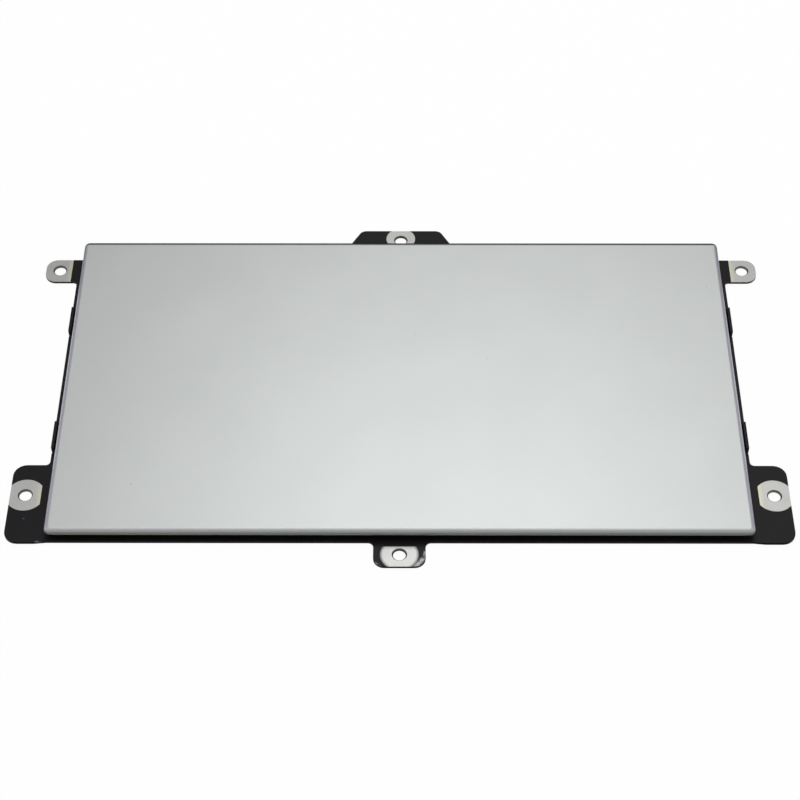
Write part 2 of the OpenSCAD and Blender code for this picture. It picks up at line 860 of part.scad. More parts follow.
module hinge_leaf(x) {
    color(bare_steel)
        difference() {
            translate([x - leaf_w / 2, 0, 0])
                rotate([90, 0, 90])
                    linear_extrude(leaf_w)
                        leaf_profile();
            for (end = [-1, 1])
                translate([x + end * rivet_pitch / 2, rivet_y, top_z - cut])
                    cylinder(d = rivet_d + 2 * rivet_clear, h = leaf_t + 2 * cut);
        }
}

module hinge_leaf_left() {
    hinge_leaf(-leaf_x);
}

module hinge_leaf_right() {
    hinge_leaf(leaf_x);
}

module rivet() {
    leaf_top = top_z + leaf_t;
    translate([0, 0, sheet_z - rivet_head_h])
        cylinder(d = rivet_head_d, h = rivet_head_h);
    translate([0, 0, sheet_z - rivet_head_h])
        cylinder(d = rivet_d, h = rivet_head_h + sheet_t + leaf_t + rivet_top_h);
    translate([0, 0, leaf_top])
        cylinder(d = rivet_head_d, h = rivet_top_h);
}

module hinge_rivets() {
    color("#9d9c98")
        for (side = [-1, 1], end = [-1, 1])
            translate([side * leaf_x + end * rivet_pitch / 2, rivet_y, 0])
                rivet();
}

module bumper(x) {
    color("#171718")
        block(x, -glass_y + bumper_front + bumper_d / 2, top_z, bumper_w, bumper_d, bumper_t);
}

module bumper_left() {
    bumper(-glass_x + bumper_in);
}

module bumper_right() {
    bumper(glass_x - bumper_in);
}

touch_glass();
glass_bond_film();
sensor_board();
support_bond_film();
support_plate();
touch_controller();
supply_regulator();
board_capacitors();
board_resistors();
socket_housing();
socket_contacts();
socket_anchors();
socket_latch();
switch_base();
switch_dome();
switch_plunger();
switch_cover();
switch_terminals();
mounting_bracket();
hinge_leaf_left();
hinge_leaf_right();
hinge_rivets();
bumper_left();
bumper_right();
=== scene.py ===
"""Looks of a laptop trackpad module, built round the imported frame."""
import logging
import math
from collections.abc import Iterable, Sequence
from dataclasses import dataclass, replace
from enum import Enum

import bmesh
import bpy
from mathutils import Matrix, Vector


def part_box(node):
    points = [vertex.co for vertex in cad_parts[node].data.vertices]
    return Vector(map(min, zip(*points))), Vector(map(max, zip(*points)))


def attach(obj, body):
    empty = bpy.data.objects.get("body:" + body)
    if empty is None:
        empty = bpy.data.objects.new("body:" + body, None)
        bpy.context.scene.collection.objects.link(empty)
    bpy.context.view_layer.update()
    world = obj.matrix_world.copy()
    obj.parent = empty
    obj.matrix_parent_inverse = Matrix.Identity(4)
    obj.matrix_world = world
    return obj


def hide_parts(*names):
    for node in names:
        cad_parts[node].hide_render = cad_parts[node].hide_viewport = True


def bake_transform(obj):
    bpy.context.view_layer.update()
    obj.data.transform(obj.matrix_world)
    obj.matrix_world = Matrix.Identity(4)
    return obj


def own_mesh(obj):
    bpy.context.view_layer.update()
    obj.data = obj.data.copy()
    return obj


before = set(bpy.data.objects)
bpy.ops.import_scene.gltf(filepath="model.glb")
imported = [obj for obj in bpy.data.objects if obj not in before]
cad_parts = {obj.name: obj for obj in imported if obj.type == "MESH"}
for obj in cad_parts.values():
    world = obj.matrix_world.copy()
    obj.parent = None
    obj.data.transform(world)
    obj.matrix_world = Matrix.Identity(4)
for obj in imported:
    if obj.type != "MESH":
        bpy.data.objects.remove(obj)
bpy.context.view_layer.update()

LOG = logging.getLogger("trackpad")
MM = 0.001
UM = 0.000001
SEAM = 0.001 * MM
FLAT = math.radians(0.5)
SHARP = math.radians(50)
SMOOTH = math.radians(32)

Colour = tuple[float, float, float, float]
Spot = tuple[float, float]
Point = tuple[float, float, float]
Mesh, Vert, Edge, Face = bmesh.types.BMesh, bmesh.types.BMVert, bmesh.types.BMEdge, bmesh.types.BMFace
Piece, Tree, Node, Socket = bpy.types.Object, bpy.types.NodeTree, bpy.types.Node, bpy.types.NodeSocket


class Body(Enum):
    """The bodies that a piece can ride on."""

    BRACKET = "bracket"
    PAD = "pad"
    PLUNGER = "plunger"
    LATCH = "latch"


class Axis(Enum):
    """Directions that a cut or an end can face."""

    X = Vector((1, 0, 0))
    Y = Vector((0, 1, 0))


def linear(code: str) -> Colour:
    """Turn an sRGB hex colour to linear.

    Args:
        code: the colour, as "#rrggbb".

    Returns:
        Linear red, green and blue, with an alpha of 1.
    """
    parts = [int(code[i:i + 2], 16) / 255 for i in (1, 3, 5)]
    red, green, blue = (p / 12.92 if p <= 0.04045 else ((p + 0.055) / 1.055) ** 2.4 for p in parts)
    return red, green, blue, 1.0


def add(tree: Tree, kind: str, inputs: dict[str | int, object] | None = None, **settings: object) -> Node:
    """Add a shader node with its settings, and fill or link its inputs.

    Args:
        tree: the node tree.
        kind: the node's type, without its "ShaderNode" prefix.
        inputs: a value, a socket or a node for each input's name or number.
        settings: values of the node's own properties.

    Returns:
        The new node.
    """
    made = tree.nodes.new("ShaderNode" + kind)
    for name, value in settings.items():
        setattr(made, name, value)
    for key, value in (inputs or {}).items():
        if isinstance(key, int):
            socket = made.inputs[key]
        else:
            socket = next(s for s in made.inputs if s.enabled and s.name == key)
        if isinstance(value, Node):
            value = next(s for s in value.outputs if s.enabled)
        if isinstance(value, Socket):
            tree.links.new(value, socket)
        else:
            socket.default_value = value
    return made


@dataclass(frozen=True)
class Band:
    """A tone that takes over along an axis; along X it does so towards both sides."""

    tone: str
    axis: Axis
    from_mm: float  # where the tone begins
    to_mm: float  # where it is full

    def ramp(self, tree: Tree, place: Socket) -> Node:
        """Draw how far the tone has taken over.

        Args:
            tree: the material's nodes.
            place: where a point lies on the piece.

        Returns:
            The ramp, from 0 to 1.
        """
        along = add(tree, "SeparateXYZ", {"Vector": place}).outputs[self.axis.name]
        if self.axis is Axis.X:
            along = add(tree, "Math", {0: along}, operation="ABSOLUTE")
        return add(tree, "MapRange", {"Value": along, "From Min": self.from_mm * MM,
                                      "From Max": self.to_mm * MM}, interpolation_type="SMOOTHSTEP")


@dataclass(frozen=True)
class Layer:
    """A tone that lies over a finish's main one."""

    share: Node  # how much of it shows
    tone: str
    bare: bool = False  # whether bare metal shows there


@dataclass(frozen=True)
class Finish:
    """A real material and how its surface was made, drawn with grain, drift of tone and relief."""

    name: str  # the material and its process
    colour: str  # its main tone
    tone: str  # the tone that it drifts to in broad patches
    metallic: float = 0.0  # 1 for bare metal
    roughness: float = 0.5  # its middle roughness
    spread: float = 0.06  # how far the roughness wanders with the grain
    grain_mm: float = 0.2  # width of the grain
    stretch: float = 1.0  # how much longer than wide the grain is, along X
    patch_mm: float = 6.0  # width of the broad patches
    relief_um: float = 2.0  # height of the grain
    specular: float = 0.5  # strength of the reflection of a surface that isn't metal
    bands: tuple[Band, ...] = ()  # tones that take over towards the edges

    def material(self) -> bpy.types.Material:
        """Return this finish's material, made once."""
        return bpy.data.materials.get(self.name) or self.build()

    def build(self) -> bpy.types.Material:
        """Make the material, with its grain and its layers of tone.

        Returns:
            The new material.
        """
        made = bpy.data.materials.new(self.name)
        made.use_nodes = True
        tree = made.node_tree
        shader = tree.nodes["Principled BSDF"]
        shader.inputs["Metallic"].default_value = self.metallic
        shader.inputs["Specular IOR Level"].default_value = self.specular
        place = add(tree, "TexCoord").outputs["Object"]
        along = add(tree, "Mapping", {"Vector": place, "Scale": (1 / self.stretch, 1, 1)})
        grain = add(tree, "TexNoise", {"Vector": along, "Scale": 1 / (self.grain_mm * MM), "Detail": 3.0})
        drawn = {
            "Roughness": add(tree, "MapRange", {"Value": grain, "To Min": self.roughness - self.spread,
                                                "To Max": self.roughness + self.spread}),
            "Normal": add(tree, "Bump", {"Height": grain, "Distance": self.relief_um * UM, "Strength": 1.0}),
        }
        tone = linear(self.colour)
        for layer in self.layers(tree, place):
            tone = add(tree, "Mix", {"Factor": layer.share, "A": tone, "B": linear(layer.tone)},
                       data_type="RGBA")
            if layer.bare:
                drawn["Metallic"] = layer.share
        for name, source in {**drawn, "Base Color": tone}.items():
            tree.links.new(next(s for s in source.outputs if s.enabled), shader.inputs[name])
        return made

    def layers(self, tree: Tree, place: Socket) -> list[Layer]:
        """Draw the tones over the main one: here the drift and the bands.

        Args:
            tree: the material's nodes.
            place: where a point lies on the piece.

        Returns:
            The layers, from the lowest up.
        """
        patch = add(tree, "TexNoise", {"Vector": place, "Scale": 1 / (self.patch_mm * MM), "Detail": 4.0})
        # A noise lies mostly between 0.3 and 0.7
        drift = add(tree, "MapRange", {"Value": patch, "From Min": 0.3, "From Max": 0.7})
        return [Layer(drift, self.tone), *(Layer(b.ramp(tree, place), b.tone) for b in self.bands)]


@dataclass(frozen=True)
class SprayedGlass(Finish):
    """Etched glass sprayed silver: satin, with stray dust."""

    dust: str = "#a9aba9"  # the tone of the dust
    dust_mm: float = 7.0  # spacing of the places where a speck may lie
    speck: float = 0.022  # radius of a speck, as a share of that spacing

    def layers(self, tree: Tree, place: Socket) -> list[Layer]:
        """Draw the dust.

        Args:
            tree: the material's nodes.
            place: where a point lies on the piece.

        Returns:
            The layers, from the lowest up.
        """
        cells = add(tree, "TexVoronoi", {"Vector": place, "Scale": 1 / (self.dust_mm * MM)})
        speck = add(tree, "Math", {0: cells.outputs["Distance"], 1: self.speck}, operation="LESS_THAN")
        return [*super().layers(tree, place), Layer(speck, self.dust)]


@dataclass(frozen=True)
class BlackCoat(Finish):
    """Black coat dipped on steel: a soft sheen, rubbed grey in places and along the cut edges."""

    bare: str = "#868583"  # the tone of the metal that shows where the coat is rubbed
    # Both ends, the reach and the strength of each rubbed streak, seen from above
    rubs_mm: tuple[tuple[float, float, float, float, float, float], ...] = ()
    scuff_mm: float = 0.5  # width of the scuffs inside a streak
    edge_share: float = 0.36  # how strongly the cut edges are rubbed
    worn: Spot = (0.85, 1.35)  # sums of rub and scuff at which bare metal begins to show and shows fully

    def layers(self, tree: Tree, place: Socket) -> list[Layer]:
        """Draw where the coat has rubbed off.

        Args:
            tree: the material's nodes.
            place: where a point lies on the piece.

        Returns:
            The layers, from the lowest up.
        """
        scuffs = add(tree, "TexNoise", {"Vector": place, "Scale": 1 / (self.scuff_mm * MM), "Detail": 5.0})
        edge = add(tree, "Attribute", attribute_name="edge_wear").outputs["Fac"]
        worn = add(tree, "Math", {0: edge, 1: self.edge_share}, operation="MULTIPLY")
        plan = add(tree, "Mapping", {"Vector": place, "Scale": (1, 1, 0)})
        for x0, y0, x1, y1, reach, strength in self.rubs_mm:
            start, end = Vector((x0, y0, 0)) * MM, Vector((x1, y1, 0)) * MM
            away = add(tree, "VectorMath", {0: plan, 1: start}, operation="SUBTRACT")
            along = add(tree, "VectorMath", {0: away, 1: (end - start) / (end - start).length_squared},
                        operation="DOT_PRODUCT").outputs["Value"]
            near = add(tree, "Mix", {"Factor": along, "A": start, "B": end}, data_type="VECTOR")
            apart = add(tree, "VectorMath", {0: plan, 1: near}, operation="DISTANCE").outputs["Value"]
            streak = add(tree, "MapRange", {"Value": apart, "From Min": reach * MM, "From Max": 0.0,
                                            "To Max": strength})
            worn = add(tree, "Math", {0: worn, 1: streak}, operation="MAXIMUM")
        rub = add(tree, "Math", {0: worn, 1: scuffs}, operation="ADD")
        shown = add(tree, "MapRange", {"Value": rub, "From Min": self.worn[0], "From Max": self.worn[1]})
        return [*super().layers(tree, place), Layer(shown, self.bare, bare=True)]


@dataclass(frozen=True)
class BareLand(Finish):
    """Steel left bare under a mask: satin, with a straw tint and a dark ring of painted shadow round the front
    land.
    """

    straw: str = "#c3c1ac"  # the tint beside the coat
    aside_mm: Spot = (20.0, 30.0)  # distances from the middle between which the lands of the sides begin
    straw_mm: Spot = (60.05, 60.75)  # distances at which the tint is full and has gone
    lean: float = 0.0085  # how much further out the tint lies towards the rear, as a slope
    plate_shadow: str = "#4a4947"  # the tone of the touch plate's shadow, painted round the front land
    front_mm: Point = (0.0, -35.8, 0.86)  # middle of the front land
    # Distances from there at which the painted shadow begins and is full, and where that land ends
    rim_mm: tuple[float, float, float] = (2.7, 3.2, 5.0)

    def layers(self, tree: Tree, place: Socket) -> list[Layer]:
        """Draw the straw tint and the painted shadow round the front land.

        Args:
            tree: the material's nodes.
            place: where a point lies on the piece.

        Returns:
            The layers, from the lowest up.
        """
        aside = Band(self.straw, Axis.X, *self.aside_mm).ramp(tree, place)
        parts = add(tree, "SeparateXYZ", {"Vector": place})
        across = add(tree, "Math", {0: parts.outputs["X"]}, operation="ABSOLUTE")
        leant = add(tree, "Math", {0: parts.outputs["Y"], 1: -self.lean, 2: across}, operation="MULTIPLY_ADD")
        beyond = add(tree, "MapRange", {"Value": leant, "From Min": self.straw_mm[0] * MM,
                                        "From Max": self.straw_mm[1] * MM})
        tint = add(tree, "Math", {0: aside, 1: beyond}, operation="SUBTRACT")
        # The coat ramp and the rim below draw no coat: they lay a dark ring of painted shadow of the touch
        # plate round the front land
        bare, full, end = (mm * MM for mm in self.rim_mm)
        apart = add(tree, "VectorMath", {0: place, 1: Vector(self.front_mm) * MM},
                    operation="DISTANCE").outputs["Value"]
        coat = add(tree, "MapRange", {"Value": apart, "From Min": bare, "From Max": full})
        near = add(tree, "Math", {0: apart, 1: end}, operation="LESS_THAN")
        rim = add(tree, "Math", {0: coat, 1: near}, operation="MULTIPLY")
        return [*super().layers(tree, place), Layer(tint, self.straw), Layer(rim, self.plate_shadow)]


@dataclass(frozen=True)
class Laminate(Finish):
    """Glass-epoxy board under solder mask: glossy green faces, and straw-coloured fibre at the cut edge."""

    fibre: str = "#8d8659"  # the tone of the cut edge
    steep: float = 0.5  # a face whose normal rises less than this belongs to the cut edge

    def layers(self, tree: Tree, place: Socket) -> list[Layer]:
        """Draw the cut edge.

        Args:
            tree: the material's nodes.
            place: where a point lies on the piece.

        Returns:
            The layers, from the lowest up.
        """
        normal = add(tree, "NewGeometry").outputs["True Normal"]
        upright = add(tree, "Math", {0: add(tree, "SeparateXYZ", {"Vector": normal}).outputs["Z"]},
                      operation="ABSOLUTE")
        side = add(tree, "Math", {0: upright, 1: self.steep}, operation="LESS_THAN")
        return [*super().layers(tree, place), Layer(side, self.fibre)]


# Etch, rolling lines, pores and mould grain of a few hundredths of a millimetre are too fine to show in the
# render, so every grain below is drawn as coarse as it needs to show, 0.1 to 0.4 mm wide

# A soft, faintly green silver with a broad sheen and a very fine sparkle, with a painted lavender reflection
# at the turned sides and a painted dark reflection along the rear edge
SILVER_GLASS = SprayedGlass("etched glass, sprayed silver", "#bec1c0", "#bbbebd", metallic=0.7,
                            roughness=0.44, spread=0.03, grain_mm=0.25, patch_mm=14.0, relief_um=1.2,
                            bands=(Band("#c0becc", Axis.X, 57.0, 58.0), Band("#434447", Axis.Y, 31.9, 32.35)))
# Deep black with a soft, slightly pebbled sheen
BLACK_COAT = BlackCoat("steel sheet, dip coated black", "#161417", "#19171a", roughness=0.42, grain_mm=0.3,
                       patch_mm=5.0, relief_um=4.0, specular=0.14,
                       rubs_mm=((4.1, -35.4, 4.0, -36.7, 0.6, 0.7), (3.8, -36.8, 2.7, -38.2, 0.85, 1.0),
                                (-3.0, -38.2, -3.9, -37.4, 0.5, 0.5), (-59.6, -33.3, -58.6, -33.4, 0.4, 0.6),
                                (-62.0, -28.6, -61.6, -28.7, 0.4, 0.42)))
# Even grey metal with a wide, soft highlight
BARE_LAND = BareLand("steel sheet, masked and left bare", "#b4b4b1", "#afafad", metallic=1.0, roughness=0.45,
                     spread=0.05, grain_mm=0.16, patch_mm=2.5, relief_um=1.5)
# Darker grey metal, torn in fine upright lines
PUNCHED_STEEL = Finish("steel sheet, punched through", "#757471", "#62615e", metallic=1.0, roughness=0.42,
                       grain_mm=0.1, patch_mm=0.4, relief_um=5.0)
# Grey metal with long rolling lines
ROLLED_STEEL = Finish("stainless steel, cold rolled", "#bdbcb8", "#b0afab", metallic=1.0, roughness=0.34,
                      grain_mm=0.14, stretch=30.0, patch_mm=9.0, relief_um=1.5)
# The same sheet with its lugs dipped black, so that nothing shines beside the glass
LUGGED_STEEL = replace(ROLLED_STEEL, name="stainless steel, cold rolled, lugs dipped black",
                       bands=(Band("#141415", Axis.X, 56.1, 56.5),))
# Darker, finer rolling lines and a tighter highlight
SPRING_STEEL = Finish("spring steel, rolled and hardened", "#a9a79f", "#9b988e", metallic=1.0, roughness=0.28,
                      grain_mm=0.1, stretch=24.0, patch_mm=4.0, relief_um=1.0)
# Dull metal with hammered patches
RIVET_STEEL = Finish("steel, formed rivet", "#8f8e8a", "#7c7b77", metallic=1.0, roughness=0.38, grain_mm=0.18,
                     patch_mm=0.9, relief_um=4.0)
# Pale matt solder
TINNED = Finish("brass, matt tinned", "#c9cacc", "#b9babd", metallic=1.0, roughness=0.36, grain_mm=0.12,
                patch_mm=0.6, relief_um=4.0)
# Warm bright metal
GOLD_FLASH = Finish("bronze, gold flashed", "#d9b25c", "#c79f4c", metallic=1.0, roughness=0.25, grain_mm=0.1,
                    patch_mm=0.8, relief_um=1.0)
# Glossy dark green that dulls in patches
SOLDER_MASK = Laminate("glass-epoxy laminate, solder masked", "#12331f", "#163b26", roughness=0.32,
                       grain_mm=0.35, patch_mm=4.0, relief_um=3.0)
# The same mask where it runs over copper: lighter and smoother
MASKED_COPPER = Finish("copper track, solder masked", "#23583a", "#1d4c32", roughness=0.28, grain_mm=0.3,
                       patch_mm=2.0, relief_um=1.5)
# Matt near-black with fine mould grain
RESIN = Finish("epoxy resin, transfer moulded", "#1c1c1e", "#222224", roughness=0.58, grain_mm=0.12,
               patch_mm=1.5, relief_um=5.0, specular=0.4)
# Brown, slightly waxy
CERAMIC = Finish("barium titanate ceramic, fired", "#8a6a45", "#7d5f3d", roughness=0.42, grain_mm=0.1,
                 patch_mm=0.5)
# Black glass film
GLAZE = Finish("alumina, black glazed", "#17171a", "#1f1f22", roughness=0.25, grain_mm=0.1, patch_mm=0.5,
               relief_um=1.5)
# Warm white with faint flow streaks
IVORY = Finish("liquid crystal polymer, moulded ivory", "#ddd5c2", "#d3cab5", roughness=0.48, grain_mm=0.12,
               stretch=6.0, patch_mm=2.0, relief_um=3.0)
# Brown-black with faint flow streaks
DARK_POLYMER = Finish("liquid crystal polymer, moulded dark", "#2b2723", "#332e29", roughness=0.45,
                      grain_mm=0.12, stretch=6.0, patch_mm=2.0, relief_um=3.0)
# Milky tan
PLUNGER = Finish("polyamide, moulded", "#c3b48f", "#b8a983", roughness=0.42, grain_mm=0.12, patch_mm=1.0)
# Cloudy, faintly yellow
FILM = Finish("acrylic adhesive, cast film", "#d6d4c8", "#cbc9bc", roughness=0.35, grain_mm=0.4, patch_mm=5.0,
              relief_um=3.0)
# Black card of the studio's flags
CARD = Finish("card, matt black", "#0a0a0a", "#0c0c0c", roughness=0.9, specular=0.1)
# Dead black with fine pores
RUBBER = Finish("silicone rubber, die cut", "#141414", "#1a1a1a", roughness=0.8, patch_mm=2.0, relief_um=8.0,
                specular=0.3)


def bevel(bm: Mesh, edges: Iterable[Edge], width_mm: float, segments: int = 2) -> list[Face]:
    """Round edges of a mesh by a width, in a number of strips, and return the new faces."""
    return bmesh.ops.bevel(bm, geom=list(edges), offset=width_mm * MM, offset_type="OFFSET", affect="EDGES",
                           segments=segments, profile=0.5, material=-1, clamp_overlap=True)["faces"]


def add_block(bm: Mesh, centre_mm: Point, size_mm: Point) -> list[Vert]:
    """Add a block with this centre and size to a mesh, and return its vertices."""
    place = Matrix.Translation(Vector(centre_mm) * MM) @ Matrix.Diagonal((*(s * MM for s in size_mm), 1))
    return bmesh.ops.create_cube(bm, size=1.0, matrix=place)["verts"]


def add_frustum(bm: Mesh, centre_mm: Point, radii_mm: Spot, height_mm: float, segments: int) -> list[Vert]:
    """Add an upright frustum to a mesh.

    Args:
        bm: the mesh.
        centre_mm: its centre.
        radii_mm: radius at its lower and at its upper end.
        height_mm: its height.
        segments: number of sides.

    Returns:
        The frustum's vertices.
    """
    return bmesh.ops.create_cone(bm, cap_ends=True, cap_tris=False, segments=segments,
                                 radius1=radii_mm[0] * MM, radius2=radii_mm[1] * MM, depth=height_mm * MM,
                                 matrix=Matrix.Translation(Vector(centre_mm) * MM))["verts"]


def add_path(bm: Mesh, points_mm: Iterable[Point]) -> tuple[list[Vert], list[Edge]]:
    """Add a chain of edges through points to a mesh, and return its vertices and edges."""
    verts = [bm.verts.new(Vector(point) * MM) for point in points_mm]
    return verts, [bm.edges.new(pair) for pair in zip(verts, verts[1:])]


def cut(bm: Mesh, axis: Axis, at_mm: float) -> None:
    """Cut a mesh across an axis, at a place on it."""
    bmesh.ops.bisect_plane(bm, geom=[*bm.verts, *bm.edges, *bm.faces], dist=SEAM,
                           plane_co=axis.value * at_mm * MM, plane_no=axis.value)


def copy_of(node: str) -> Mesh:
    """Copy a node's mesh, with its triangles joined to flat faces.

    Args:
        node: the node's name.

    Returns:
        The copy.
    """
    bm = bmesh.new()
    bm.from_mesh(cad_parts[node].data)
    bmesh.ops.remove_doubles(bm, verts=bm.verts, dist=SEAM)
    bmesh.ops.dissolve_limit(bm, angle_limit=FLAT, verts=bm.verts, edges=bm.edges)
    bm.normal_update()
    return bm


def at_level(part: Edge | Face, level_mm: float) -> bool:
    """Tell whether an edge or a face lies flat at a level."""
    return all(abs(v.co.z - level_mm * MM) < SEAM for v in part.verts)


def sharp_edges(bm: Mesh) -> list[Edge]:
    """List the outer edges at which a mesh turns sharply."""
    return [e for e in bm.edges if len(e.link_faces) == 2 and e.is_convex and e.calc_face_angle() > SHARP]


def finished(name: str, bm: Mesh, finishes: Sequence[Finish], body: Body | None, slot: str,
             *nodes: str) -> Piece:
    """Make a shaded piece from a mesh and put it on its body.

    Args:
        name: the piece's name.
        bm: its mesh, which is used up.
        finishes: its finishes, in the order of its faces' numbers.
        body: the body that it rides on, or None to put it on no body, as for a leaf that bends between two.
        slot: the record's material slot; not used.
        nodes: the nodes that it replaces.

    Returns:
        The piece.
    """
    bmesh.ops.recalc_face_normals(bm, faces=bm.faces)
    bm.normal_update()
    for face in bm.faces:
        face.smooth = True
    for edge in bm.edges:
        edge.smooth = len(edge.link_faces) == 2 and edge.calc_face_angle() < SMOOTH
    mesh = bpy.data.meshes.new(name)
    bm.to_mesh(mesh)
    bm.free()
    shading = mesh.attributes.get("custom_normal")
    if shading:
        mesh.attributes.remove(shading)
    for finish in finishes:
        mesh.materials.append(finish.material())
    piece = bpy.data.objects.new(name, mesh)
    bpy.context.scene.collection.objects.link(piece)
    piece.modifiers.new("even_shading", "WEIGHTED_NORMAL").keep_sharp = True
    if body:
        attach(piece, body.value)
    if nodes:
        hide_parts(*nodes)
    return piece


def eased(name: str, node: str, finish: Finish, body: Body, slot: str, width_mm: float = 0.03,
          shortest_mm: float = 0.06) -> Piece:
    """Copy a node, break its sharp edges and let the copy stand for it.

    Args:
        name: the piece's name.
        node: the node that it replaces.
        finish: its finish.
        body: the body that it rides on.
        slot: the record's material slot.
        width_mm: the break of the edges.
        shortest_mm: edges shorter than this stay sharp.

    Returns:
        The piece.
    """
    bm = copy_of(node)
    bevel(bm, [e for e in sharp_edges(bm) if e.calc_length() > shortest_mm * MM], width_mm)
    return finished(name, bm, [finish], body, slot, node)


def dress(finish: Finish, *nodes: str) -> list[Piece]:
    """Give nodes a finish.

    Args:
        finish: the finish.
        nodes: the nodes' names.

    Returns:
        The nodes' objects.
    """
    for node in nodes:
        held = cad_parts[node]
        if not held.material_slots:
            held.data.materials.append(None)
        for holder in held.material_slots:
            holder.material = finish.material()
    return [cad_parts[node] for node in nodes]


@dataclass
class TouchPlate:
    """The silver touch plate."""

    corner_mm: float = 1.0  # its corner radius, seen from above
    edge_mm: float = 0.8  # the rounding of its upper edge
    foot_mm: float = 0.08  # the break of its lower edge

    def build(self) -> list[Piece]:
        """Model the plate in its node's box.

        Returns:
            The plate.
        """
        low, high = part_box("touch_glass")
        bm = bmesh.new()
        add_block(bm, (low + high) / (2 * MM), (high - low) / MM)
        corners = [e for e in bm.edges if abs(e.verts[0].co.z - e.verts[1].co.z) > SEAM]
        bevel(bm, corners, self.corner_mm, segments=10)
        bevel(bm, [e for e in bm.edges if at_level(e, high.z / MM)], self.edge_mm, segments=10)
        bevel(bm, [e for e in bm.edges if at_level(e, low.z / MM)], self.foot_mm)
        return [finished("touch_plate", bm, [SILVER_GLASS], Body.PAD, "silver_glass", "touch_glass")]


@dataclass
class Bracket:
    """The black steel bracket, its rubber stops and its hinge rivets."""

    sheet_mm: float = 0.4  # height of the sheet's underside
    land_mm: float = 0.86  # height of the bare lands
    cut_mm: float = 0.045  # the break of the stamped edges
    draw_mm: float = 0.22  # the rounding along the drawn beads and the pocket
    root_mm: float = 0.14  # the rounding where they leave the sheet
    # Places of the screw holes
    holes_mm: tuple[Spot, ...] = (
        (-62.3, 28.05), (62.3, 28.05), (-62.3, -23.73), (62.3, -23.73), (0.0, 35.8), (0.0, -35.8))
    rim_mm: float = 1.3  # radius that holds a screw hole and its chamfer
    rivet_x_mm: tuple[float, ...] = (-41.0, -31.0, 31.0, 41.0)  # places of the rivets across the part
    rivet_y_mm: float = 28.9  # their place from front to rear
    # Underside of the lower head, underside and top of the sheet and leaf, and upper head
    rivet_levels_mm: tuple[float, float, float, float] = (0.15, 0.4, 1.05, 1.2)
    rivet_radii_mm: Spot = (0.6, 1.2)  # radius of the shank and of the heads
    # Radii at which a head's crown is flat and at which it turns down, as shares of the head's
    crown: Spot = (0.55, 0.88)
    turned_mm: Spot = (0.08, 0.04)  # how far the lower and the upper head have turned down there
    stop_mm: float = 0.04  # the break of the rubber stops' edges

    def build(self) -> list[Piece]:
        """Model the sheet, the rivets and the stops.

        Returns:
            The pieces.
        """
        return [self.sheet(), self.rivets(),
                *(eased(f"stop_{side}", f"bumper_{side}", RUBBER, Body.BRACKET, "black_rubber", self.stop_mm)
                  for side in ("left", "right"))]

    def sheet(self) -> Piece:
        """Round the sheet's edges, mark where they wear and bare the lands.

        Returns:
            The sheet.
        """
        bm = copy_of("mounting_bracket")
        for face in bm.faces:
            if at_level(face, self.land_mm):
                face.material_index = 1
            elif any(all((v.co.xy - Vector(hole) * MM).length < self.rim_mm * MM for v in face.verts)
                     for hole in self.holes_mm):
                face.material_index = 2
        wear = bm.faces.layers.float.new("edge_wear")
        bevel(bm, [e for e in sharp_edges(bm) if at_level(e, 0)], self.draw_mm, segments=4)
        roots = [e for e in bm.edges if len(e.link_faces) == 2 and not e.is_convex
                 and e.calc_face_angle() > SHARP and at_level(e, self.sheet_mm)]
        bevel(bm, roots, self.root_mm, segments=3)
        clear = [e for e in sharp_edges(bm) if all(abs(v.co.z - self.land_mm * MM) >= SEAM for v in e.verts)]
        for face in bevel(bm, clear, self.cut_mm):
            face[wear] = 1.0
        return finished("bracket_sheet", bm, [BLACK_COAT, BARE_LAND, PUNCHED_STEEL], Body.BRACKET,
                        "black_coated_steel", "mounting_bracket")

    def rivets(self) -> Piece:
        """Turn the domed rivets.

        Returns:
            The four rivets as one piece.
        """
        foot, under, over, top = self.rivet_levels_mm
        shank, head = self.rivet_radii_mm
        flat, turn = (share * head for share in self.crown)
        lower, upper = self.turned_mm
        outline = ((0, foot), (flat, foot), (turn, foot + lower), (head, under), (shank, under),
                   (shank, over), (head, over), (turn, top - upper), (flat, top), (0, top))
        bm = bmesh.new()
        for x in self.rivet_x_mm:
            verts, edges = add_path(bm, [(x + r, self.rivet_y_mm, z) for r, z in outline])
            bmesh.ops.spin(bm, geom=verts + edges, cent=Vector((x, self.rivet_y_mm, 0)) * MM, axis=(0, 0, 1),
                           angle=math.tau, steps=28, use_merge=True)
        bmesh.ops.remove_doubles(bm, verts=bm.verts, dist=SEAM)
        return finished("domed_rivets", bm, [RIVET_STEEL], Body.BRACKET, "rivet_steel", "hinge_rivets")


